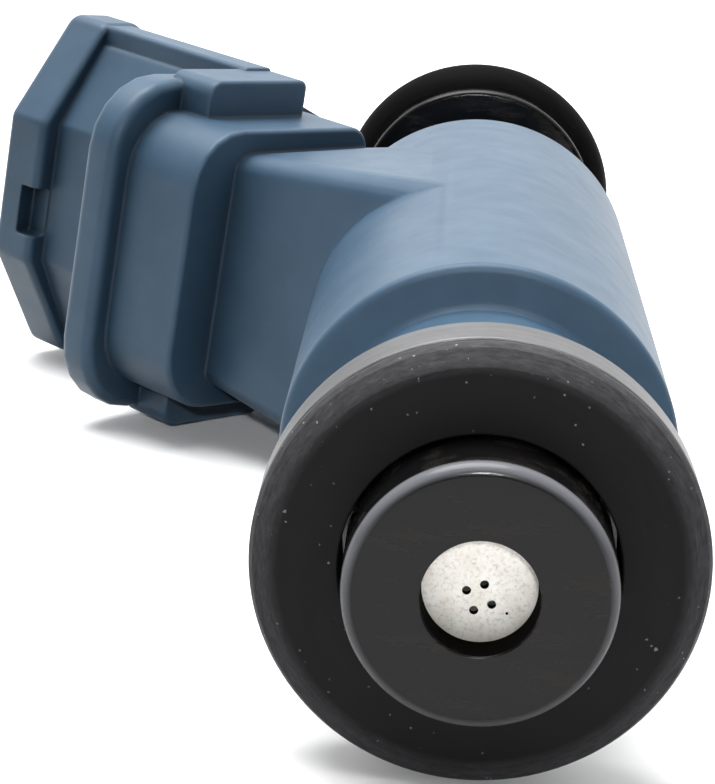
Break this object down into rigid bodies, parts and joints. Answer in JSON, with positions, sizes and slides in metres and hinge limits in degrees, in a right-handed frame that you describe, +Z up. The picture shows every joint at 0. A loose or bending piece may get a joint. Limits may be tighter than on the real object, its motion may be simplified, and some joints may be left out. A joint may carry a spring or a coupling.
{
  "type": "fuel injector",
  "caption": "Slender top-feed fuel injector lying on its side: recessed spray disc, rubber end seals, slate-blue moulded body and an angled two-pin connector socket.",
  "frame": {"origin": "middle of the plan of the lying injector, at the surface that it lies on", "axes": "+Y along the injector's own axis from the nozzle face to the fuel inlet, +Z up from the surface, connector towards -X"},
  "size_m": [0.031, 0.0684, 0.0173],
  "materials": {
    "black_plastic": "moulded black nylon, low sheen",
    "blue_plastic": "moulded slate-blue glass-filled nylon, satin",
    "brown_plastic": "moulded brown nylon",
    "natural_plastic": "moulded natural nylon",
    "rubber": "moulded fuel-resistant rubber, satin",
    "steel": "turned stainless steel",
    "bright_steel": "etched bright stainless steel",
    "copper_wire": "enamelled copper wire",
    "brass": "tin-flashed brass",
    "filter_steel": "fine woven wire"
  },
  "bodies": {
    "injector": {"nozzle_cap": "black_plastic", "orifice_disc": "bright_steel", "lower_seal": "rubber", "seal_ring": "steel", "valve_body": "steel", "valve_seat": "bright_steel", "ball_guide": "steel", "lift_stop": "steel", "return_spring": "steel", "adjusting_sleeve": "steel", "nonmagnetic_ring": "bright_steel", "inlet_tube": "steel", "coil_bobbin": "brown_plastic", "coil_winding": "copper_wire", "coil_seal_lower": "rubber", "coil_seal_upper": "rubber", "solenoid_housing": "steel", "flux_washer": "steel", "body_housing": "blue_plastic", "terminal_pin_upper": "brass", "terminal_pin_lower": "brass", "backup_ring": "black_plastic", "upper_seal": "rubber", "seal_retainer": "black_plastic", "filter_frame": "natural_plastic", "filter_mesh": "filter_steel", "filter_ring": "brass"},
    "needle": {"valve_ball": "bright_steel", "needle_tube": "steel", "armature": "steel"}
  },
  "joints": [
    {"name": "needle_lift", "type": "slide", "parent": "injector", "child": "needle", "axis": [0, 1, 0], "range_m": [0, 0.0001], "stiffness_N_per_m": 2000, "springref_m": -0.001, "deforming": ["return_spring"]}
  ]
}
